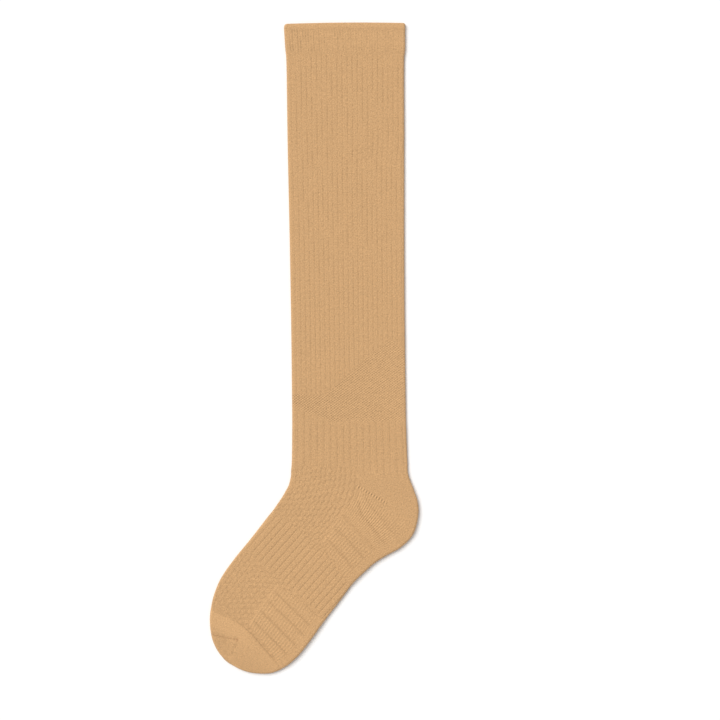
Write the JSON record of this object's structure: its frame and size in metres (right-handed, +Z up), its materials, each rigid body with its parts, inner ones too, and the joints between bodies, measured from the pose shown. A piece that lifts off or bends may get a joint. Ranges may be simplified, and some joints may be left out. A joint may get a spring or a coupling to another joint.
{
  "type": "compression stocking",
  "caption": "Knee-high ribbed knit compression stocking with a turned welt, heel pocket, cushioned sole bars and closed toe, laid flat.",
  "frame": {"origin": "on the surface the stocking lies on, under the middle of its length and width", "axes": "+Z up from the surface, +Y along the leg towards the mouth, toes pointing to -X and -Y"},
  "size_m": [0.1671, 0.52, 0.0052],
  "materials": {
    "knit": "matt tan rib knit in nylon, cotton and elastane, with a soft dry sheen"
  },
  "bodies": {
    "root": {"stocking": "knit"}
  },
  "joints": []
}
